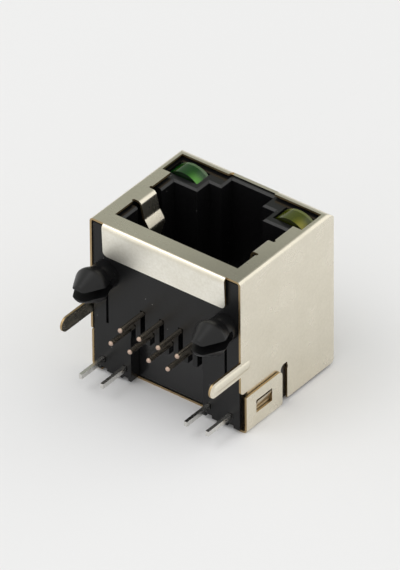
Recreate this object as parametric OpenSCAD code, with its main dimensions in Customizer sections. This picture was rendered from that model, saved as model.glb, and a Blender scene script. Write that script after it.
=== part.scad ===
// Shielded eight-way modular jack for a circuit board, with a lamp on each side of the latch slot.
//
// The jack stands on its rear panel with the mouth up. X runs across, the board lies on the -Y side
// and Z runs from the rear panel to the mouth face. The origin is the middle of the rear panel.
// Inside the modules y is measured from the board edge of the shield and z from the rear panel.
// Distances called "back" are measured from the mouth face towards the rear.

/* [Shield] */
// Width over the side panels
shield_w = 16.1; // [14.5:0.1:17.7]
// Height from the board edge to the top panel
shield_h = 13.3; // [13.1:0.1:14.5]
// Depth from the mouth face to the rear panel
shield_d = 15.9; // [14.4:0.1:18]
// Thickness of the sheet
sheet_t = 0.2; // [0.16:0.01:0.24]
// Outer radius of the folds beside the side panels
side_fold_r = 0.4; // [0.35:0.05:0.6]
// Outer radius of the folds at the front and the rear of the top panel
top_fold_r = 1.2; // [1:0.05:1.4]
// Gap between the sheet and the housing
shield_gap = 0.05; // [0.03:0.01:0.08]
// Gap between the front sheet and the housing's mouth face
mouth_gap = 0.22; // [0.15:0.01:0.3]
// How far the side panels stop short of the rear face
side_end = 0.27; // [0.25:0.01:0.4]

// How far the rear panel's sides stand in above the catches
rear_inset = 0.85; // [0.7:0.05:1]

/* [Window] */
// Width of sheet that the plug window stands back from the plug opening, on each side
window_lip = 0.55; // [0.4:0.05:0.6]
// How far the window's lower edge lies below the floor of the plug opening
window_drop = 0.25; // [0.1:0.05:0.4]
// How far the window's lamp part starts above the top of the plug opening
window_step = 0.25; // [0.1:0.05:0.4]
// Width of sheet between the window's lamp part and the side panels' outer faces
window_side = 0.6; // [0.5:0.05:0.8]
// Width of the notch in the top panel over the latch slot
notch_w = 4.9; // [4.6:0.1:5.2]
// How far that notch reaches back
notch_back = 0.33; // [0.3:0.01:0.5]

/* [Board edge strip] */
// Distance of the strip's ends from the side panels' outer faces
strip_side = 1.52; // [1.2:0.02:2]
// How far back the strip reaches
strip_back = 3.25; // [2.5:0.05:3.4]
// How far the strip stands below the board edge at its fold
strip_out = 0.3; // [0.26:0.01:0.35]
// Lean of the strip's rear end towards the housing
strip_lean = 2.5; // [0:0.5:3]

/* [Earth springs] */
// Width of each spring
spring_w = 2.1; // [1.6:0.1:2.4]
// Height of the springs' middle above the board edge
spring_y = 5.4; // [5:0.1:6]
// How far each spring reaches into the plug opening
spring_reach = 1.05; // [0.9:0.05:1.3]
// Distance of the springs' free ends behind the mouth face
spring_back = 4.8; // [4.4:0.1:5.4]

/* [Solder tabs] */
// Width of each tab
tab_w = 1.45; // [1.2:0.05:1.8]
// Length of each tab below the board edge
tab_l = 4.25; // [3:0.05:4.6]
// Distance of the tabs' middle behind the mouth face
tab_back = 9.08; // [8.8:0.01:9.6]
// Radius of the rib pressed into each tab
tab_rib_r = 0.8; // [0.6:0.05:0.9]
// How far the rib stands out
tab_rib_out = 0.14; // [0.1:0.01:0.15]

/* [Rear catches] */
// Length of each catch along the side panel, from the rear face
catch_l = 3.8; // [3.4:0.1:3.9]
// Lowest edge of each catch above the board edge
catch_low = 0.45; // [0.3:0.05:0.6]
// Width of each catch
catch_w = 5; // [4.4:0.1:5.2]
// Width of the window in each catch
catch_window_w = 2.2; // [1.8:0.1:2.6]
// Length of the window in each catch
catch_window_l = 1.3; // [1.1:0.1:1.6]
// Distance of the window's middle from the catch's front edge
catch_window_in = 1.65; // [1.4:0.05:1.9]
// Width of the slot beside each tongue
tongue_slot_w = 0.93; // [0.7:0.01:1.1]
// How far the lance stands out of the tongue
lance_out = 0.32; // [0.26:0.01:0.4]

/* [Plug opening] */
// Width of the opening
plug_w = 12; // [11.8:0.05:12.2]
// Height of the opening without the latch slot
plug_h = 7.2; // [7:0.05:7.3]
// Floor of the opening above the board edge
plug_floor = 1.85; // [1.8:0.01:1.95]
// Depth of the opening behind the mouth face
plug_depth = 12.3; // [12.2:0.1:12.8]
// Width of the wide part of the latch slot
latch_step_w = 7; // [6.6:0.1:7.1]
// Height of the wide part of the latch slot
latch_step_h = 1.65; // [1.5:0.05:1.7]
// Width of the narrow part of the latch slot
latch_w = 4.4; // [4.2:0.1:4.6]
// Height of the narrow part of the latch slot
latch_h = 1.5; // [1.3:0.05:1.55]
// Depth of the latch slot behind the mouth face
latch_depth = 9; // [8:0.1:10]
// Lead-in chamfer around the opening
mouth_chamfer = 0.18; // [0.15:0.01:0.3]

/* [Lamps] */
// Height of the lens from its board side to its far side
lens_h = 1.65; // [1.5:0.05:1.75]
// Height of the lens's arched top over its sides
lens_arch = 0.58; // [0.4:0.02:0.8]
// How far the arch stands out of the mouth face
lens_rise = 0.02; // [-0.1:0.01:0.2]
// Distance of the lens's middle below the window's upper edge
lamp_drop = 1.42; // [1.3:0.02:1.5]
// Length of the lamp's body behind its arch
lamp_l = 6.9; // [6:0.1:8]
// Thickness of the housing wall beside each lamp
lamp_wall = 0.55; // [0.5:0.01:0.6]
// Gap between each lamp and the housing
lamp_gap = 0.12; // [0.08:0.01:0.15]
// Thickness of the lamp leads across the jack
lead_w = 0.32; // [0.28:0.01:0.4]
// Thickness of the lamp leads the other way
lead_t = 0.48; // [0.44:0.01:0.54]
// Distance of each lead's middle from the side of its lamp
lead_in_side = 0.33; // [0.28:0.01:0.45]
// Distance of the leads' middle from the rear face
lead_rear = 1.5; // [1.4:0.02:1.6]
// Length of the leads below the board face
lead_l = 3.24; // [2.5:0.02:3.6]

/* [Board side] */
// Height of the board face above the board edge
face_y = 0.12; // [0.08:0.01:0.2]
// Distance of each board peg's middle from the housing's side
peg_side = 1.45; // [1.4:0.01:1.5]
// Distance of the pegs behind the mouth face
peg_back = 5.26; // [5.2:0.02:5.5]
// Diameter of each peg's head
peg_head_d = 3.3; // [3:0.05:3.4]
// Diameter of each peg's neck
peg_neck_d = 2.6; // [2.4:0.05:2.8]
// Length of each peg below the board face
peg_l = 4; // [3.6:0.05:4.4]
// Width of the slit in each peg
peg_slit_w = 0.9; // [0.7:0.05:1]
// Distance of the first contact row behind the pegs
row_gap = 2.54; // [2.5:0.01:2.6]
// Distance between the two contact rows
row_pitch = 1.78; // [1.7:0.01:1.9]
// Distance of the recess between the rear legs behind the mouth face
recess_back = 10.9; // [10.8:0.05:11.2]
// Width of the slots that the contact tails slide along
tail_slot_w = 0.52; // [0.5:0.01:0.6]
// Width of the sink groove behind each peg
groove_w = 0.26; // [0.2:0.01:0.35]
// Depth of the sink groove behind each peg
groove_d = 0.35; // [0.2:0.01:0.5]

/* [Contacts] */
// Number of contacts
contact_n = 8; // [8:1:8]
// Diameter of the contact wire
contact_d = 0.46; // [0.42:0.01:0.48]
// Distance between neighbouring contacts
contact_pitch = 1.016; // [1.01:0.001:1.02]
// Length of the tails below the board face
tail_l = 3.28; // [2.8:0.02:3.8]
// Inner bend radius of the wire
bend_r = 0.25; // [0.2:0.01:0.3]
// Distance of the contacts' front bend behind the mouth face
front_back = 2.4; // [2.2:0.05:2.8]
// Slope of the springs towards the rear
spring_slope = 11.4; // [10:0.2:12]
// Thickness of the carrier's tray under the contacts
tray_t = 0.55; // [0.5:0.01:0.6]
// Depth of the grooves that hold the contacts
tray_groove = 0.3; // [0.25:0.01:0.35]
// Gap between each contact's free end and the ribs beside it
comb_gap = 0.08; // [0.06:0.01:0.12]
// Height of the comb's ribs above the tray
comb_h = 3.6; // [3:0.1:4.2]
// How far the comb's ribs stand forward
comb_out = 1; // [0.8:0.1:1.3]

/* [Hidden] */
$fn = 48;

over = 1;                 // how far cutting shapes run past a face
slide_gap = 0.05;         // clearance round a piece that slides into another
min_fold_r = 0.05;        // smallest inner radius of a fold

skin = sheet_t + shield_gap;               // from the shield's outer face to the housing
housing_w = shield_w - 2 * skin;
housing_rear = side_end + shield_gap;      // rear face of the housing
mouth_back = sheet_t + mouth_gap;          // mouth face of the housing

plug_top = plug_floor + plug_h;
latch_step_top = plug_top + latch_step_h;
latch_top = latch_step_top + latch_h;
window_w = plug_w + 2 * window_lip;
window_high = shield_h - top_fold_r;

strip_w = shield_w - 2 * strip_side;
peg_x = housing_w / 2 - peg_side;
rib_high = 0.95;                           // where the tabs' ribs end above the board edge
catch_back = shield_d - catch_l;

// each lamp stands in the middle between the latch slot and the housing's side
pocket_w = housing_w / 2 - latch_step_w / 2 - 2 * lamp_wall;
pocket_h = lens_h + 2 * lamp_gap;
lens_w = pocket_w - 2 * lamp_gap;
lens_r = (pow(lens_arch, 2) + pow(lens_w / 2, 2)) / (2 * lens_arch);
lamp_x = housing_w / 2 - lamp_wall - pocket_w / 2;
lamp_y = window_high - lamp_drop;
lamp_end = lens_arch - lens_rise + lamp_l;
lamp_window_w = shield_w - 2 * window_side;
lead_pitch = lens_w - 2 * lead_in_side;
lead_hold = 1;                             // how far the leads reach into the lamp's body

row_1 = peg_back + row_gap;
row_2 = row_1 + row_pitch;
lead_back = shield_d - lead_rear;

carrier_w = (contact_n - 1) * contact_pitch + contact_d + 0.07;
carrier_slot_w = carrier_w + 2 * slide_gap;
tray_low = plug_floor - tray_t;
wire_y = plug_floor - tray_groove + contact_d / 2;
wire_r = bend_r + contact_d / 2;
comb_t = contact_pitch - contact_d - 2 * comb_gap;

catch_gap = 0.06;                          // between a catch and the side panel under it
catch_x = shield_w / 2 + catch_gap;
tongue_low = catch_low + 0.45;
tongue_high = catch_low + catch_w + 0.1;
catch_window_y = catch_low + 0.49 * catch_w;
catch_window_back = catch_back + catch_window_in;

// Height of a point that lies a distance behind the mouth face
function at_back(distance) = shield_d - distance;

// Place of contact number n across the jack: odd numbers go to the far row, even ones to the near row
function contact_x(n) = (n - (contact_n + 1) / 2) * contact_pitch;
function contact_row(n) = n % 2 == 1 ? row_2 : row_1;

// Moves a shape drawn from the board edge so that the origin is in the middle of the rear panel
module placed() {
    translate([0, -shield_h / 2, 0]) children();
}

// Box given by its lowest and highest corner
module block(low, high) {
    translate(low) cube(high - low);
}

// Rectangle on the x axis with its two top corners rounded
module arch(w, h, r) {
    translate([-w / 2, 0]) square([w, h - r]);
    translate([-w / 2 + r, 0]) square([w - 2 * r, h]);
    for (side = [-1, 1]) translate([side * (w / 2 - r), h - r]) circle(r);
}

// Mirrored pair of a shape on the +X side
module both_sides() {
    for (side = [0, 1]) mirror([side, 0, 0]) children();
}

// Extrudes an outline drawn in (x, z) from y_low to y_high
module along_y(y_low, y_high) {
    translate([0, y_high, 0]) rotate([90, 0, 0]) linear_extrude(y_high - y_low) children();
}

// Extrudes an outline drawn in (z, y) over the width w
module along_x(w) {
    rotate([0, -90, 0]) linear_extrude(w, center = true) children();
}

// Everything within the shield's skin, a distance inset inside it, and a depth below the board edge
module skin_block(inset, below = 0) {
    w = shield_w - 2 * inset;
    h = shield_h - inset + below;
    d = shield_d - 2 * inset;
    side_r = max(side_fold_r - inset, min_fold_r);
    top_r = max(top_fold_r - inset, min_fold_r);
    translate([0, -below, inset]) intersection() {
        linear_extrude(d) arch(w, h, side_r);
        along_y(0, h) arch(w, d, side_r);
        translate([0, 0, d / 2]) along_x(w) arch(d, h, top_r);
    }
}

// Bent bar along a list of steps [straight, radius, angle, roll]: the heading is +Z, each bend turns
// it towards the local +Y after the roll about the heading, and the section is the first child
module bent_bar(steps, i = 0) {
    straight = steps[i][0];
    linear_extrude(straight) children();
    if (len(steps[i]) > 1) {
        r = steps[i][1];
        a = steps[i][2];
        translate([0, 0, straight]) rotate([0, 0, steps[i][3]]) {
            translate([0, r, 0]) rotate([90, 0, -90]) rotate_extrude(angle = a)
                translate([r, 0]) rotate(90) children();
            translate([0, r * (1 - cos(a)), r * sin(a)]) rotate([-a, 0, 0]) bent_bar(steps, i + 1) children();
        }
    }
}

// ---- shield ----

module shield_window() {
    front = at_back(sheet_t) - 0.1;
    block([-window_w / 2, plug_floor - window_drop, front], [window_w / 2, window_high, shield_d + over]);
    block([-lamp_window_w / 2, plug_top + window_step, front], [lamp_window_w / 2, window_high, shield_d + over]);
    block([-notch_w / 2, latch_step_top, at_back(notch_back)], [notch_w / 2, shield_h + over, shield_d + over]);
    // relief cuts beside the roots of the earth springs
    relief = 0.32;
    both_sides() for (side = [-1, 1])
        translate([window_w / 2, spring_y + side * (spring_w + relief) / 2, front])
            cylinder(d = relief, h = shield_d);
}

// Strip of the front face bent into the opening: fold, flank, slope, and an outward end
module earth_spring() {
    fold = 77;           // angles of the strip's parts from the front face
    slope = 57;
    away = 107;
    fold_r = 0.35;
    knee_r = 0.5;
    turn_r = 0.4;
    flank_l = 1.3;
    held = 0.3;          // how far the strip starts inside the front face
    flat_l = 0.27;       // flat part inside the window
    fold_x = window_w / 2 - flat_l;
    // middle line of the strip where it lies deepest in the opening
    turn_x = plug_w / 2 - spring_reach + sheet_t / 2;
    slope_x = fold_x - fold_r * sin(fold) - flank_l * cos(fold) - knee_r * (sin(fold) - sin(slope));
    slope_l = (slope_x - turn_r * (1 - sin(slope)) - turn_x) / cos(slope);
    end_back = sheet_t / 2 + fold_r * (1 - cos(fold)) + flank_l * sin(fold) + knee_r * (cos(slope) - cos(fold))
        + slope_l * sin(slope) + turn_r * (cos(slope) - cos(away));
    end_l = (spring_back - end_back) / sin(away);
    translate([fold_x + flat_l + held, spring_y, shield_d - sheet_t / 2]) rotate([0, -90, 0]) rotate([0, 0, 90])
        bent_bar([[flat_l + held, fold_r, fold, 0], [flank_l, knee_r, fold - slope, 180],
                  [slope_l, turn_r, away - slope, 180], [end_l]])
            square([spring_w, sheet_t], center = true);
}

module edge_strip() {
    r = side_fold_r;
    round_r = 0.5;
    lap = r * sin(strip_lean) + 0.01;      // how far the fold runs on to meet the leaning strip
    translate([0, r - strip_out, at_back(r)]) {
        // quarter fold
        along_x(strip_w) intersection() {
            difference() {
                circle(r);
                circle(r - sheet_t);
            }
            translate([-lap, -r]) square([r + lap, r]);
        }
        rotate([strip_lean, 0, 0]) translate([0, -r, 0]) rotate([-90, 0, 0]) linear_extrude(sheet_t)
            arch(strip_w, strip_back - r, round_r);
    }
    // flat of the front face down to the fold
    block([-strip_w / 2, r - strip_out, at_back(sheet_t)], [strip_w / 2, side_fold_r, shield_d]);
}

module solder_tab() {
    outer = shield_w / 2;
    rib_x = outer + tab_rib_out - tab_rib_r;
    rib_low = -tab_l + tab_w / 2 + 0.2;
    difference() {
        union() {
            translate([outer - sheet_t, 0, at_back(tab_back)]) rotate([90, 0, 90]) linear_extrude(sheet_t) {
                translate([-tab_l + tab_w / 2, -tab_w / 2]) square([tab_l, tab_w]);
                translate([-tab_l + tab_w / 2, 0]) circle(d = tab_w);
            }
            intersection() {
                tab_rib(rib_x, rib_low, rib_high, tab_rib_r);
                block([outer - sheet_t / 2, -tab_l, 0], [outer + over, rib_high + over, shield_d]);
            }
        }
        tab_rib(rib_x, rib_low, rib_high, tab_rib_r - tab_rib_out);
    }
}

// Round bar that forms the rib on a tab, and the hollow behind it
module tab_rib(x, y_low, y_high, r) {
    translate([x, y_low, at_back(tab_back)]) rotate([-90, 0, 0]) cylinder(r = r, h = y_high - y_low);
    for (y = [y_low, y_high]) translate([x, y, at_back(tab_back)]) sphere(r);
}

module rear_catch() {
    r = side_fold_r;
    high = catch_low + catch_w;
    far_r = 0.5;
    difference() {
        union() {
            // foot under the side panel, fold and wall
            block([shield_w / 2 - sheet_t - 0.6, catch_low, 0], [catch_x + sheet_t - r, high, sheet_t]);
            along_y(catch_low, high) translate([catch_x + sheet_t - r, r]) intersection() {
                difference() {
                    circle(r);
                    circle(r - sheet_t);
                }
                translate([0, -r]) square(r);
            }
            translate([catch_x, 0, r]) rotate([90, 0, 90]) linear_extrude(sheet_t) difference() {
                translate([catch_low, 0]) square([catch_w, at_back(catch_back) - r]);
                translate([high - far_r, at_back(catch_back) - r - far_r]) difference() {
                    square(far_r + over);
                    circle(far_r);
                }
            }
        }
        translate([catch_x - 0.02, catch_window_y - catch_window_w / 2, at_back(catch_window_back) - catch_window_l / 2])
            cube([sheet_t + over, catch_window_w, catch_window_l]);
    }
}

// Bent-out lance on the tongue: its free end faces the mouth and holds the catch's window
module lance() {
    margin = 0.12;
    foot_z = at_back(catch_window_back) - catch_window_l / 2 + margin;
    rise = catch_window_l - 2 * margin;
    outer = shield_w / 2;
    along_y(catch_window_y - catch_window_w / 2 + margin, catch_window_y + catch_window_w / 2 - margin)
        polygon([[outer - 0.05, foot_z], [outer + lance_out, foot_z + rise],
                 [outer + lance_out - sheet_t, foot_z + rise], [outer - 0.05, foot_z + rise * 0.45]]);
}

// Slot outline of width w and height h, its far corner rounder beside the tongue than on the other side
module tongue_slot(w, h, tongue_r, other_r) {
    square([w, h - tongue_r]);
    translate([tongue_r, 0]) square([w - tongue_r, h - other_r]);
    translate([tongue_r, 0]) square([w - tongue_r - other_r, h]);
    translate([tongue_r, h - tongue_r]) circle(tongue_r);
    translate([w - other_r, h - other_r]) circle(other_r);
}

// Cuts that free the tongue from the side panel, and the panel from the rear
module side_panel_cuts() {
    inner = shield_w / 2 - sheet_t - 0.04;
    corner_r = 0.4;
    corner_back = catch_back - 0.35;
    slot_high = at_back(catch_back) + 0.27;
    outer = shield_w / 2 + over;
    block([inner, -over, -over], [outer, shield_h + over, side_end]);
    block([inner, -over, -over], [outer, tongue_low, at_back(corner_back)]);
    translate([inner, corner_r, at_back(corner_back) + corner_r]) rotate([90, 0, 90]) linear_extrude(over) difference() {
        translate([-corner_r - over, -corner_r - 0.01]) square([corner_r + over, corner_r]);
        circle(corner_r);
    }
    translate([inner, tongue_high, -over]) rotate([90, 0, 90]) linear_extrude(over)
        tongue_slot(tongue_slot_w, slot_high + over, 0.5, 0.15);
    // rear top corner of the side panel
    corner_l = 1.1;
    translate([inner, shield_h, 0]) rotate([45, 0, 0]) cube([over + 1, corner_l, corner_l], center = true);
}

module shield() {
    color("silver") placed() {
        difference() {
            skin_block(0);
            skin_block(sheet_t, over);
            shield_window();
            both_sides() side_panel_cuts();
            // rear panel: its board edge, and its sides above the catches
            block([-shield_w / 2, -over, -over], [shield_w / 2, tray_low, side_end]);
            both_sides()
                block([shield_w / 2 - rear_inset, catch_low + catch_w, -over], [shield_w / 2 + over, shield_h + over, side_end]);
            both_sides() tab_rib(shield_w / 2 + tab_rib_out - tab_rib_r, -tab_l, rib_high, tab_rib_r - tab_rib_out);
        }
        edge_strip();
        both_sides() {
            earth_spring();
            solder_tab();
            rear_catch();
            lance();
        }
    }
}

// ---- housing ----

// Chamfered lead-in of a rectangular opening at the mouth face
module lead_in(w, low, high, c) {
    front = at_back(mouth_back);
    intersection() {
        along_y(low - c, high + c)
            polygon([[-w / 2, front - c], [w / 2, front - c], [w / 2 + c + over, front + over],
                     [-w / 2 - c - over, front + over]]);
        along_x(w + 2 * c)
            polygon([[front - c, low], [front - c, high], [front + over, high + c + over],
                     [front + over, low - c - over]]);
    }
}

module plug_opening() {
    front = shield_d;
    block([-plug_w / 2, plug_floor, at_back(plug_depth)], [plug_w / 2, plug_top, front]);
    block([-latch_step_w / 2, plug_floor, at_back(latch_depth)], [latch_step_w / 2, latch_step_top, front]);
    block([-latch_w / 2, plug_floor, at_back(latch_depth)], [latch_w / 2, latch_top, front]);
    lead_in(plug_w, plug_floor, plug_top, mouth_chamfer);
    lead_in(latch_step_w, plug_floor + 1, latch_step_top, mouth_chamfer);
    lead_in(latch_w, plug_floor + 1, latch_top, mouth_chamfer);
}

// Hollows in the side walls that the earth springs bend into
module spring_hollows() {
    room = 0.3;
    room_above = 0.9;
    both_sides()
        block([plug_w / 2 - over, spring_y - spring_w / 2 - room, at_back(6)],
              [window_w / 2 + room, spring_y + spring_w / 2 + room_above, shield_d]);
}

module lamp_hollows() {
    hole_w = lead_w + 2 * slide_gap;
    hole = lead_t + 2 * slide_gap;
    rear_step_w = hole_w + 0.24;
    rear_step_d = 0.3;
    staked = 1;      // height above the board face where the plastic is closed over the leads
    bevel = 0.2;
    both_sides() {
        block([lamp_x - pocket_w / 2, lamp_y - pocket_h / 2, at_back(lamp_end + slide_gap)],
              [lamp_x + pocket_w / 2, lamp_y + pocket_h / 2, shield_d]);
        for (side = [-1, 1]) translate([lamp_x + side * lead_pitch / 2, 0, 0]) {
            block([-hole_w / 2, lamp_y - hole / 2, -over], [hole_w / 2, lamp_y + hole / 2, at_back(lamp_end)]);
            block([-hole_w / 2, face_y + staked, -over], [hole_w / 2, lamp_y + hole / 2, at_back(lead_back) + hole / 2]);
            block([-hole_w / 2, -over, at_back(lead_back) - hole / 2],
                  [hole_w / 2, face_y + staked + over, at_back(lead_back) + hole / 2]);
            block([-rear_step_w / 2, -over, -over], [rear_step_w / 2, lamp_y + hole / 2, housing_rear + rear_step_d]);
            // bevel that clears the inside of the leads' bend
            translate([0, lamp_y - hole / 2, at_back(lead_back) + hole / 2]) rotate([45, 0, 0])
                cube([hole_w, bevel, bevel], center = true);
        }
    }
}

// Everything that the contact carrier and the contacts slide into from the rear
module carrier_hollows() {
    half = carrier_slot_w / 2;
    block([-half, tray_low - slide_gap, -over], [half, plug_top, at_back(plug_depth) + over]);
    block([-half, -over, -over], [half, tray_low, at_back(recess_back)]);
    block([-half, tray_low - slide_gap, at_back(plug_depth)], [half, plug_floor + over, at_back(front_back)]);
    for (n = [1 : contact_n]) {
        front = at_back(contact_row(n)) + tail_slot_w / 2;
        block([contact_x(n) - tail_slot_w / 2, -over, 0], [contact_x(n) + tail_slot_w / 2, tray_low, front]);
    }
}

// Split snap peg that points to the board, drawn along its own axis from the board face
module board_peg() {
    neck_r = peg_neck_d / 2;
    head_r = peg_head_d / 2;
    neck_l = 1;
    crown = 2.1;     // distance of the widest place from the board face
    tip_r = 0.8;
    soft_r = 0.45;
    difference() {
        rotate_extrude() {
            polygon([[0, -0.5], [neck_r, -0.5], [neck_r, neck_l], [head_r - 0.04, crown - 0.25],
                     [head_r - 0.04, crown + 0.2], [tip_r, peg_l - 0.12], [tip_r - 0.15, peg_l], [0, peg_l]]);
            translate([head_r - soft_r, crown]) circle(soft_r);
        }
        translate([-peg_head_d, -peg_slit_w / 2, 0.65]) cube([2 * peg_head_d, peg_slit_w, peg_l]);
    }
}

module housing() {
    color([0.06, 0.06, 0.065]) placed() {
        difference() {
            intersection() {
                skin_block(skin);
                block([-shield_w, face_y, housing_rear], [shield_w, shield_h, at_back(mouth_back)]);
            }
            plug_opening();
            spring_hollows();
            lamp_hollows();
            carrier_hollows();
            both_sides()
                block([peg_x - groove_w / 2, -over, at_back(recess_back) + 0.45],
                      [peg_x + groove_w / 2, face_y + groove_d, at_back(peg_back)]);
        }
        both_sides() translate([peg_x, face_y, at_back(peg_back)]) rotate([90, 0, 0]) board_peg();
    }
}

// ---- contacts and their carrier ----

module contact_carrier() {
    half = carrier_w / 2;
    rear = housing_rear + slide_gap;
    groove_w = contact_d + 2 * slide_gap;
    color([0.09, 0.09, 0.1]) placed() difference() {
        union() {
            block([-half, tray_low, rear], [half, plug_top - slide_gap, at_back(plug_depth)]);
            block([-half, tray_low, rear], [half, plug_floor, at_back(front_back) - slide_gap]);
            for (n = [1 : contact_n - 1]) translate([contact_x(n + 0.5), 0, 0])
                block([-comb_t / 2, plug_floor - 0.1, rear], [comb_t / 2, plug_floor + comb_h, at_back(plug_depth) + comb_out]);
        }
        for (n = [1 : contact_n]) translate([contact_x(n), 0, at_back(contact_row(n))]) {
            // groove under the wire, open towards the mouth, and the hole for its tail
            block([-groove_w / 2, plug_floor - tray_groove, -contact_d / 2 - slide_gap],
                  [groove_w / 2, plug_floor + over, shield_d]);
            block([-groove_w / 2, -over, -contact_d / 2 - slide_gap],
                  [groove_w / 2, plug_floor, contact_d / 2 + wire_r]);
        }
    }
}

// Spring wire: tail, run along the tray, front bend and sloping spring
module contact(n) {
    tip_r = contact_d / 2;
    tail_low = face_y - tail_l;
    front_straight = at_back(front_back) - wire_r - tip_r - (at_back(contact_row(n)) + wire_r);
    back_angle = 180 - spring_slope;
    slope_l = (plug_depth - comb_out * 0.45 - front_back - wire_r - tip_r) / cos(spring_slope);
    color([0.82, 0.66, 0.5]) placed() translate([contact_x(n), tail_low + tip_r, at_back(contact_row(n))]) {
        sphere(tip_r);
        rotate([-90, 0, 0]) cylinder(r = tip_r, h = tail_l - tip_r);
        rotate([-90, 180, 0])
            bent_bar([[wire_y - wire_r - tail_low - tip_r, wire_r, 90, 0],
                      [front_straight, wire_r, back_angle, 180], [slope_l]])
                circle(tip_r);
    }
}

// ---- lamps ----

// Lamp body with an arched top, drawn on its own axis with the mouth face at z = 0
module lamp_form() {
    shoulder = lens_rise - lens_arch;
    difference() {
        along_y(-lens_h / 2, lens_h / 2) {
            translate([-lens_w / 2, -lamp_end]) square([lens_w, lamp_end + shoulder]);
            intersection() {
                translate([0, lens_rise - lens_r]) circle(lens_r);
                translate([-lens_w / 2, shoulder - lens_arch]) square([lens_w, 2 * lens_arch + over]);
            }
        }
        for (side = [-1, 1]) translate([side * lead_pitch / 2 - lead_w / 2, -lead_t / 2, -lamp_end - over])
            cube([lead_w, lead_t, over + lead_hold]);
    }
}

module left_lamp() {
    color([0.2, 0.62, 0.25, 0.9]) placed() translate([-lamp_x, lamp_y, shield_d]) lamp_form();
}

module right_lamp() {
    color([0.62, 0.62, 0.12, 0.9]) placed() translate([lamp_x, lamp_y, shield_d]) lamp_form();
}

// Flat lead of a lamp at x: from inside the lamp's body to the rear, and down to the board
module lead(x) {
    r = lead_t;
    run = lead_back - lamp_end + lead_hold - r;
    drop = lamp_y - r - (face_y - lead_l);
    color([0.78, 0.78, 0.76]) placed() translate([x, lamp_y, at_back(lamp_end - lead_hold)]) rotate([0, 180, 0])
        bent_bar([[run, r, 90, 180], [drop]]) square([lead_w, lead_t], center = true);
}

shield();
housing();
contact_carrier();
contact(1);  // contact_1
contact(2);  // contact_2
contact(3);  // contact_3
contact(4);  // contact_4
contact(5);  // contact_5
contact(6);  // contact_6
contact(7);  // contact_7
contact(8);  // contact_8
left_lamp();
right_lamp();
lead(-lamp_x - lead_pitch / 2);  // left_outer_lead
lead(-lamp_x + lead_pitch / 2);  // left_inner_lead
lead(lamp_x - lead_pitch / 2);  // right_inner_lead
lead(lamp_x + lead_pitch / 2);  // right_outer_lead
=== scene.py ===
import math
import bpy
import bmesh
from mathutils import Matrix, Vector
from mathutils.bvhtree import BVHTree


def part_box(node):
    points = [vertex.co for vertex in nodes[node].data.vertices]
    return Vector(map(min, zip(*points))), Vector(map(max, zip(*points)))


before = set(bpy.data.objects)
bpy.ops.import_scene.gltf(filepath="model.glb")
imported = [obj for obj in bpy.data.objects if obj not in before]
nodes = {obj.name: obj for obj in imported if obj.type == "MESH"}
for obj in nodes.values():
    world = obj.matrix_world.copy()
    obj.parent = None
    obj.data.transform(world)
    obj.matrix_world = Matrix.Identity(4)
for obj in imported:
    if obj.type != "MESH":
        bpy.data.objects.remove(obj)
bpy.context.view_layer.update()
print("stage: frame loaded,", len(nodes), "nodes")

mm = 0.001


# Shader helpers

def newGroup(name, inputs, outputs):
    group = bpy.data.node_groups.new(name, "ShaderNodeTree")
    for label, kind, value in inputs:
        socket = group.interface.new_socket(label, in_out="INPUT", socket_type=kind)
        socket.default_value = value
    for label, kind in outputs:
        group.interface.new_socket(label, in_out="OUTPUT", socket_type=kind)
    return group, group.nodes.new("NodeGroupInput"), group.nodes.new("NodeGroupOutput")


def addNode(tree, kind, **settings):
    node = tree.nodes.new(kind)
    for key, value in settings.items():
        setattr(node, key, value)
    return node


# Gives a socket a number, a colour or the output of another node
def feed(tree, socket, value):
    if isinstance(value, bpy.types.NodeSocket):
        tree.links.new(value, socket)
    elif isinstance(value, tuple):
        socket.default_value = (*value, 1)
    else:
        socket.default_value = value


def mathNode(tree, operation, first, second, clamp=False):
    node = addNode(tree, "ShaderNodeMath", operation=operation, use_clamp=clamp)
    feed(tree, node.inputs[0], first)
    feed(tree, node.inputs[1], second)
    return node.outputs[0]


# A value that varies around a middle: middle + spread * value
def around(tree, middle, spread, value):
    node = addNode(tree, "ShaderNodeMath", operation="MULTIPLY_ADD")
    for socket, part in zip(node.inputs, (value, spread, middle)):
        feed(tree, socket, part)
    return node.outputs[0]


# One number where the mask is 0, the other where it is 1
def blend(tree, first, second, mask):
    return around(tree, first, second - first, mask)


# 0 at start, 1 at end, with a soft step between them
def softStep(tree, value, start, end):
    node = addNode(tree, "ShaderNodeMapRange", interpolation_type="SMOOTHSTEP")
    feed(tree, node.inputs["Value"], value)
    feed(tree, node.inputs["From Min"], start)
    feed(tree, node.inputs["From Max"], end)
    return node.outputs[0]


def mixColour(tree, factor, first, second):
    node = addNode(tree, "ShaderNodeMix", data_type="RGBA")
    for index, value in ((0, factor), (6, first), (7, second)):
        feed(tree, node.inputs[index], value)
    return node.outputs[2]


def objectAxes(tree):
    place = addNode(tree, "ShaderNodeTexCoord")
    split = addNode(tree, "ShaderNodeSeparateXYZ")
    tree.links.new(place.outputs["Object"], split.inputs[0])
    return split.outputs


def newMaterial(name):
    material = bpy.data.materials.new(name)
    material.use_nodes = True
    tree = material.node_tree
    tree.nodes.clear()
    output = tree.nodes.new("ShaderNodeOutputMaterial")
    shader = tree.nodes.new("ShaderNodeBsdfPrincipled")
    tree.links.new(shader.outputs[0], output.inputs["Surface"])
    return material, tree, shader


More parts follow.
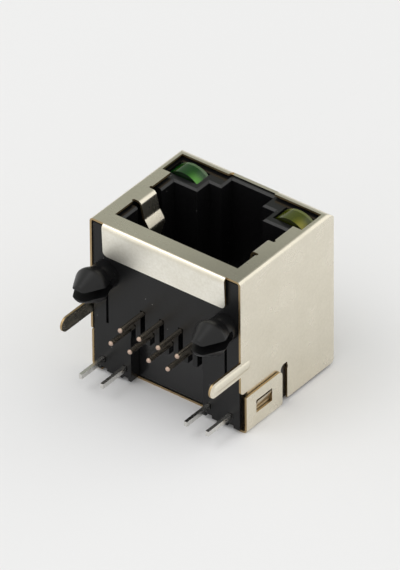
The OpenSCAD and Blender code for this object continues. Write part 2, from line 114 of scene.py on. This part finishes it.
# Soft noise with features of a size in millimetres: Value runs about -1 to 1
def makeMottleGroup():
    group, entry, leave = newGroup(
        "softMottle",
        [("Size", "NodeSocketFloat", 1.0), ("Detail", "NodeSocketFloat", 3.0)],
        [("Value", "NodeSocketFloat")],
    )
    place = addNode(group, "ShaderNodeTexCoord")
    noise = addNode(group, "ShaderNodeTexNoise")
    feed(group, noise.inputs["Vector"], place.outputs["Object"])
    feed(group, noise.inputs["Scale"], mathNode(group, "DIVIDE", 1 / mm, entry.outputs["Size"]))
    feed(group, noise.inputs["Detail"], entry.outputs["Detail"])
    feed(group, leave.inputs["Value"], around(group, -1.5, 3.0, noise.outputs[0]))
    return group


# Scattered specks: Mask is 1 on a speck
def makeSpeckGroup():
    group, entry, leave = newGroup(
        "dustSpecks",
        [
            ("Spacing", "NodeSocketFloat", 1.0),
            ("Radius", "NodeSocketFloat", 0.05),
            ("Share", "NodeSocketFloat", 0.3),
        ],
        [("Mask", "NodeSocketFloat")],
    )
    place = addNode(group, "ShaderNodeTexCoord")
    cells = addNode(group, "ShaderNodeTexVoronoi", feature="F1")
    feed(group, cells.inputs["Vector"], place.outputs["Object"])
    feed(group, cells.inputs["Scale"], mathNode(group, "DIVIDE", 1 / mm, entry.outputs["Spacing"]))
    reach = mathNode(group, "DIVIDE", entry.outputs["Radius"], entry.outputs["Spacing"])
    near = mathNode(group, "LESS_THAN", cells.outputs["Distance"], reach)
    split = addNode(group, "ShaderNodeSeparateColor")
    feed(group, split.inputs[0], cells.outputs["Color"])
    chosen = mathNode(group, "LESS_THAN", split.outputs[0], entry.outputs["Share"])
    feed(group, leave.inputs["Mask"], mathNode(group, "MULTIPLY", near, chosen))
    return group


softMottle = makeMottleGroup()
dustSpecks = makeSpeckGroup()


def useGroup(tree, group, **inputs):
    node = addNode(tree, "ShaderNodeGroup", node_tree=group)
    for key, value in inputs.items():
        node.inputs[key].default_value = value
    return node.outputs[0]


def addBump(tree, shader, height, depth):
    bump = addNode(tree, "ShaderNodeBump")
    bump.inputs["Distance"].default_value = depth
    feed(tree, bump.inputs["Height"], height)
    feed(tree, shader.inputs["Normal"], bump.outputs[0])


# Materials

# Zones of the frame that the materials tell apart, in millimetres
zoneSettings = {
    "boardBelowTop": 12.93,
    "stripLength": 4.6,
    "stripHalf": 7.2,
    "stripDepth": 0.35,
    "stripFade": (0.2, 0.8),
    "margin": 0.05,
}
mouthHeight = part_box("shield")[1].z
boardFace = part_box("housing")[1].y - zoneSettings["boardBelowTop"] * mm
margin = zoneSettings["margin"] * mm

sheetSettings = {
    "plate": (0.825, 0.775, 0.655),
    "stain": (0.62, 0.575, 0.46),
    # painted light: a lighter copy of the plate for the strip over the board side, standing in for its
    # brighter floor reflection
    "paintedLightStripPlate": (0.95, 0.925, 0.84),
    "stainShare": 0.18,
    "stainSpread": 0.20,
    "stainSize": 2.4,
    "grainSize": 0.22,
    "grainSpread": 0.17,
    # painted shade on the mouth face towards its corner on the board side: its strength, and its reach in
    # millimetres
    "paintedCornerShade": 0.34,
    "paintedCornerShadeReach": (2.0, 15.0),
    "roughness": 0.28,
    "stripRoughness": 0.42,
    "roughSpread": 0.03,
    "bumpSize": 0.30,
    "bumpDepth": 0.0010,
}


def makeSheet():
    facts = sheetSettings
    material, tree, shader = newMaterial("nickelSheet")
    blotch = useGroup(tree, softMottle, Size=facts["stainSize"])
    grain = useGroup(tree, softMottle, Size=facts["grainSize"], Detail=2.0)
    share = around(tree, facts["stainShare"], facts["stainSpread"], blotch)
    share = mathNode(tree, "ADD", share, mathNode(tree, "MULTIPLY", grain, facts["grainSpread"]), clamp=True)
    x, y, z = objectAxes(tree)
    # the strip folded over the board side gets painted light, a lighter copy of the plate standing in for its
    # brighter floor reflection, and a more matt finish
    zones = zoneSettings
    outside = mathNode(tree, "LESS_THAN", y, boardFace + zones["stripDepth"] * mm)
    between = mathNode(tree, "LESS_THAN", mathNode(tree, "ABSOLUTE", x, 0.0), zones["stripHalf"] * mm)
    infront = mathNode(tree, "GREATER_THAN", z, mouthHeight - zones["stripLength"] * mm)
    start, end = (mouthHeight - depth * mm for depth in zones["stripFade"])
    strip = softStep(tree, z, start, end)
    for mask in (outside, between, infront):
        strip = mathNode(tree, "MULTIPLY", strip, mask)
    plate = mixColour(tree, strip, facts["plate"], facts["paintedLightStripPlate"])
    colour = mixColour(tree, share, plate, facts["stain"])
    # painted shade: the mouth face is darkened towards its corner on the board side, standing in for the
    # dimmer reflection there
    low, high = (reach * mm for reach in facts["paintedCornerShadeReach"])
    corner = softStep(tree, mathNode(tree, "SUBTRACT", x, y), low, high)
    onMouth = mathNode(tree, "GREATER_THAN", z, mouthHeight - margin)
    paintedShade = mathNode(tree, "MULTIPLY", mathNode(tree, "MULTIPLY", corner, onMouth), facts["paintedCornerShade"])
    feed(tree, shader.inputs["Base Color"], mixColour(tree, paintedShade, colour, (0.0, 0.0, 0.0)))
    feed(tree, shader.inputs["Metallic"], 1.0)
    rough = blend(tree, facts["roughness"], facts["stripRoughness"], strip)
    feed(tree, shader.inputs["Roughness"], around(tree, rough, facts["roughSpread"], blotch))
    addBump(tree, shader, useGroup(tree, softMottle, Size=facts["bumpSize"]), facts["bumpDepth"] * mm)
    return material


metalSettings = {
    "brassCut": {"colour": (0.40, 0.29, 0.155), "roughness": 0.40, "roughSpread": 0.05, "grainSize": 0.1},
    "tinnedLead": {"colour": (0.70, 0.69, 0.66), "roughness": 0.26, "roughSpread": 0.05, "grainSize": 0.4},
}


def makeMetal(name):
    facts = metalSettings[name]
    material, tree, shader = newMaterial(name)
    feed(tree, shader.inputs["Base Color"], facts["colour"])
    feed(tree, shader.inputs["Metallic"], 1.0)
    grain = useGroup(tree, softMottle, Size=facts["grainSize"])
    feed(tree, shader.inputs["Roughness"], around(tree, facts["roughness"], facts["roughSpread"], grain))
    return material


wireSettings = {
    "plate": (0.56, 0.50, 0.42),
    "tip": (0.50, 0.38, 0.31),
    "tipLength": 0.2,
    "roughness": 0.24,
    "tipRoughness": 0.5,
}


def makeWire():
    facts = wireSettings
    material, tree, shader = newMaterial("contactWire")
    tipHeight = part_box("contact_1")[0].y + facts["tipLength"] * mm
    tip = mathNode(tree, "LESS_THAN", objectAxes(tree)[1], tipHeight)
    feed(tree, shader.inputs["Base Color"], mixColour(tree, tip, facts["plate"], facts["tip"]))
    feed(tree, shader.inputs["Metallic"], 1.0)
    feed(tree, shader.inputs["Roughness"], blend(tree, facts["roughness"], facts["tipRoughness"], tip))
    return material


plasticSettings = {
    "colour": (0.0055, 0.0055, 0.006),
    "dust": (0.30, 0.30, 0.29),
    "specular": 0.45,
    "boardSpecular": 0.26,
    "roughness": 0.24,
    "boardRoughness": 0.36,
    "roughSpread": 0.03,
    "mottleSize": 1.4,
    "dustSpacing": 0.75,
    "dustRadius": 0.036,
    "dustShare": 0.24,
    "bumpSize": 0.16,
    "bumpDepth": 0.0016,
}


def makePlastic(name):
    facts = plasticSettings
    material, tree, shader = newMaterial(name)
    mottle = useGroup(tree, softMottle, Size=facts["mottleSize"])
    spacing, radius, share = (facts[key] for key in ("dustSpacing", "dustRadius", "dustShare"))
    dust = useGroup(tree, dustSpecks, Spacing=spacing, Radius=radius, Share=share)
    feed(tree, shader.inputs["Base Color"], mixColour(tree, dust, facts["colour"], facts["dust"]))
    # the board side and the pegs are moulded duller than the mouth
    dull = mathNode(tree, "LESS_THAN", objectAxes(tree)[1], boardFace + margin)
    shine = blend(tree, facts["specular"], facts["boardSpecular"], dull)
    feed(tree, shader.inputs["Specular IOR Level"], shine)
    rough = blend(tree, facts["roughness"], facts["boardRoughness"], dull)
    feed(tree, shader.inputs["Roughness"], around(tree, rough, facts["roughSpread"], mottle))
    addBump(tree, shader, useGroup(tree, softMottle, Size=facts["bumpSize"]), facts["bumpDepth"] * mm)
    return material


lensSettings = {
    "roughness": 0.09,
    "transmission": 0.30,
    "specular": 0.38,
    # painted highlight along the lens's far rim
    "paintedRimHighlightReach": (0.32, 0.20),
    # painted highlight: lens colour brighter towards the +X end, fading towards the front
    "paintedHighlightReach": (0.1, 1.7),
    "frontReach": (0.2, 1.2),
    # painted shade on the lens's near flat face
    "flatDepth": 0.01,
    "left_lamp": {
        "name": "greenLens",
        "body": (0.004, 0.055, 0.004),
        "paintedHighlight": (0.10, 0.38, 0.03),
        "paintedRimHighlight": (0.10, 0.17, 0.08),
        "flat": (0.006, 0.020, 0.006),
    },
    "right_lamp": {
        "name": "yellowLens",
        "body": (0.062, 0.078, 0.002),
        "paintedHighlight": (0.34, 0.31, 0.008),
        "paintedRimHighlight": (0.15, 0.17, 0.05),
        "flat": (0.022, 0.026, 0.003),
    },
}


def makeLens(node):
    facts = lensSettings[node]
    material, tree, shader = newMaterial(facts["name"])
    low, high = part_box(node)
    middle = (low.x + high.x) / 2
    x, y, z = objectAxes(tree)
    # painted highlight: brighter towards the +X end and fading towards the front, though the lens is no lamp
    start, end = (reach * mm for reach in lensSettings["paintedHighlightReach"])
    paintedHighlight = softStep(tree, x, middle + start, middle + end)
    front, back = (low.y + reach * mm for reach in lensSettings["frontReach"])
    paintedHighlight = mathNode(tree, "MULTIPLY", paintedHighlight, mathNode(tree, "SUBTRACT", 1.0, softStep(tree, y, front, back)))
    colour = mixColour(tree, paintedHighlight, facts["body"], facts["paintedHighlight"])
    # painted highlight along the far rim
    start, end = (high.y - reach * mm for reach in lensSettings["paintedRimHighlightReach"])
    colour = mixColour(tree, softStep(tree, y, start, end), colour, facts["paintedRimHighlight"])
    # painted shade on the near flat face
    flat = mathNode(tree, "LESS_THAN", y, low.y + lensSettings["flatDepth"] * mm)
    feed(tree, shader.inputs["Base Color"], mixColour(tree, flat, colour, facts["flat"]))
    feed(tree, shader.inputs["Roughness"], lensSettings["roughness"])
    feed(tree, shader.inputs["Specular IOR Level"], lensSettings["specular"])
    feed(tree, shader.inputs["Transmission Weight"], lensSettings["transmission"])
    return material


nickelSheet = makeSheet()
brassCut = makeMetal("brassCut")
tinnedLead = makeMetal("tinnedLead")
contactWire = makeWire()
housingPlastic = makePlastic("housingPlastic")
carrierPlastic = makePlastic("carrierPlastic")
print("stage: materials made")


# Dressing of the CAD nodes

# In sheet thicknesses: where the ray to the far side starts, its reach, and the most a wall may measure
cutSettings = {"thickness": 0.2, "start": 0.02, "reach": 4, "wall": 1.5}


# Gives a sheet's cut edges the second material: on them the far side isn't one thickness away
def markCuts(obj):
    thickness = cutSettings["thickness"] * mm
    mesh = bmesh.new()
    mesh.from_mesh(obj.data)
    tree = BVHTree.FromBMesh(mesh)
    for face in mesh.faces:
        start = face.calc_center_median() - face.normal * thickness * cutSettings["start"]
        hit = tree.ray_cast(start, -face.normal, thickness * cutSettings["reach"])
        if hit[0] is None or hit[3] > thickness * cutSettings["wall"]:
            face.material_index = 1
    mesh.to_mesh(obj.data)
    mesh.free()


edgeSettings = {
    "segments": 2,
    "sharpAngle": 50,
    "shield": 0.045,
    "housing": 0.04,
    "carrier": 0.02,
    "lens": 0.06,
    "lead": 0.03,
}


def softEdges(obj, width):
    bevel = obj.modifiers.new("softEdges", "BEVEL")
    bevel.width = width
    bevel.segments = edgeSettings["segments"]
    bevel.limit_method = "ANGLE"
    bevel.angle_limit = math.radians(edgeSettings["sharpAngle"])
    bevel.use_clamp_overlap = False
    bevel.material = 0
    bevel.harden_normals = True


def dress(node, width, *materials):
    obj = nodes[node]
    obj.data.materials.clear()
    for material in materials:
        obj.data.materials.append(material)
    if width:
        softEdges(obj, width * mm)


dress("shield", edgeSettings["shield"], nickelSheet, brassCut)
markCuts(nodes["shield"])
dress("housing", edgeSettings["housing"], housingPlastic)
dress("contact_carrier", edgeSettings["carrier"], carrierPlastic)
for number in range(1, 9):
    dress(f"contact_{number}", 0, contactWire)
for side in ("left", "right"):
    dress(f"{side}_lamp", edgeSettings["lens"], makeLens(f"{side}_lamp"))
    for part in ("outer", "inner"):
        dress(f"{side}_{part}_lead", edgeSettings["lead"], tinnedLead)
print("stage: CAD nodes dressed")


# Floor, light and camera

stageSettings = {
    "floor": (0.765, 0.766, 0.785),
    "floorSize": 3.0,
    "bright": (1.16, 1.155, 1.12),
    "dim": (0.385, 0.40, 0.36),
    "dimTowards": (-0.498, 0.641, 0.584),
    "dimNarrow": 16,
    "dimWide": 48,
    "floorRoughness": 0.9,
    "keyFrom": (-0.35, -0.45, 0.95),
    "keySize": 0.6,
    "keyPower": 2.0,
}


def makeFloor():
    mesh = bmesh.new()
    bmesh.ops.create_grid(mesh, x_segments=1, y_segments=1, size=stageSettings["floorSize"] / 2)
    data = bpy.data.meshes.new("floor")
    mesh.to_mesh(data)
    mesh.free()
    floor = bpy.data.objects.new("floor", data)
    bpy.context.scene.collection.objects.link(floor)
    material, tree, shader = newMaterial("floorPaper")
    feed(tree, shader.inputs["Base Color"], stageSettings["floor"])
    feed(tree, shader.inputs["Roughness"], stageSettings["floorRoughness"])
    feed(tree, shader.inputs["Specular IOR Level"], 0.0)
    data.materials.append(material)


# A bright even surround with a dim zone, and the plain floor colour behind the object
def makeWorld():
    world = bpy.data.worlds.new("studio")
    bpy.context.scene.world = world
    world.use_nodes = True
    tree = world.node_tree
    place = addNode(tree, "ShaderNodeTexCoord")
    facing = addNode(tree, "ShaderNodeVectorMath", operation="DOT_PRODUCT")
    tree.links.new(place.outputs["Generated"], facing.inputs[0])
    facing.inputs[1].default_value = Vector(stageSettings["dimTowards"]).normalized()
    wide, narrow = (math.cos(math.radians(stageSettings[key])) for key in ("dimWide", "dimNarrow"))
    zone = softStep(tree, facing.outputs["Value"], wide, narrow)
    surround = mixColour(tree, zone, stageSettings["bright"], stageSettings["dim"])
    seen = addNode(tree, "ShaderNodeLightPath").outputs["Is Camera Ray"]
    colour = mixColour(tree, seen, surround, stageSettings["floor"])
    tree.links.new(colour, tree.nodes["Background"].inputs["Color"])


def makeKey():
    light = bpy.data.lights.new("softKey", "AREA")
    light.shape = "SQUARE"
    light.size = stageSettings["keySize"]
    light.energy = stageSettings["keyPower"]
    holder = bpy.data.objects.new("softKey", light)
    bpy.context.scene.collection.objects.link(holder)
    holder.location = stageSettings["keyFrom"]
    holder.rotation_mode = "QUATERNION"
    holder.rotation_quaternion = Vector(stageSettings["keyFrom"]).to_track_quat("Z", "Y")


cameraSettings = {
    "azimuth": 37.87,
    "elevation": 35.73,
    "roll": -0.45,
    "lens": 734.06,
    "place": (0.49208, -0.63461, 0.586144),
    "sensor": 36,
    "clip": (0.1, 20),
}


def makeCamera():
    azimuth, elevation, roll = (math.radians(cameraSettings[key]) for key in ("azimuth", "elevation", "roll"))
    level = Vector((math.sin(azimuth), -math.cos(azimuth), 0)) * math.cos(elevation)
    back = level + Vector((0, 0, math.sin(elevation)))
    right = Vector((math.cos(azimuth), math.sin(azimuth), 0))
    up = back.cross(right)
    right, up = (
        math.cos(roll) * right + math.sin(roll) * up,
        math.cos(roll) * up - math.sin(roll) * right,
    )
    data = bpy.data.cameras.new("camera")
    data.lens = cameraSettings["lens"]
    data.sensor_width = cameraSettings["sensor"]
    data.clip_start, data.clip_end = cameraSettings["clip"]
    camera = bpy.data.objects.new("camera", data)
    bpy.context.scene.collection.objects.link(camera)
    turn = Matrix((right, up, back)).transposed().to_4x4()
    camera.matrix_world = Matrix.Translation(cameraSettings["place"]) @ turn
    bpy.context.scene.camera = camera


makeFloor()
makeWorld()
makeKey()
makeCamera()
bpy.context.scene.view_settings.view_transform = "Standard"
print("stage: floor, light and camera set")
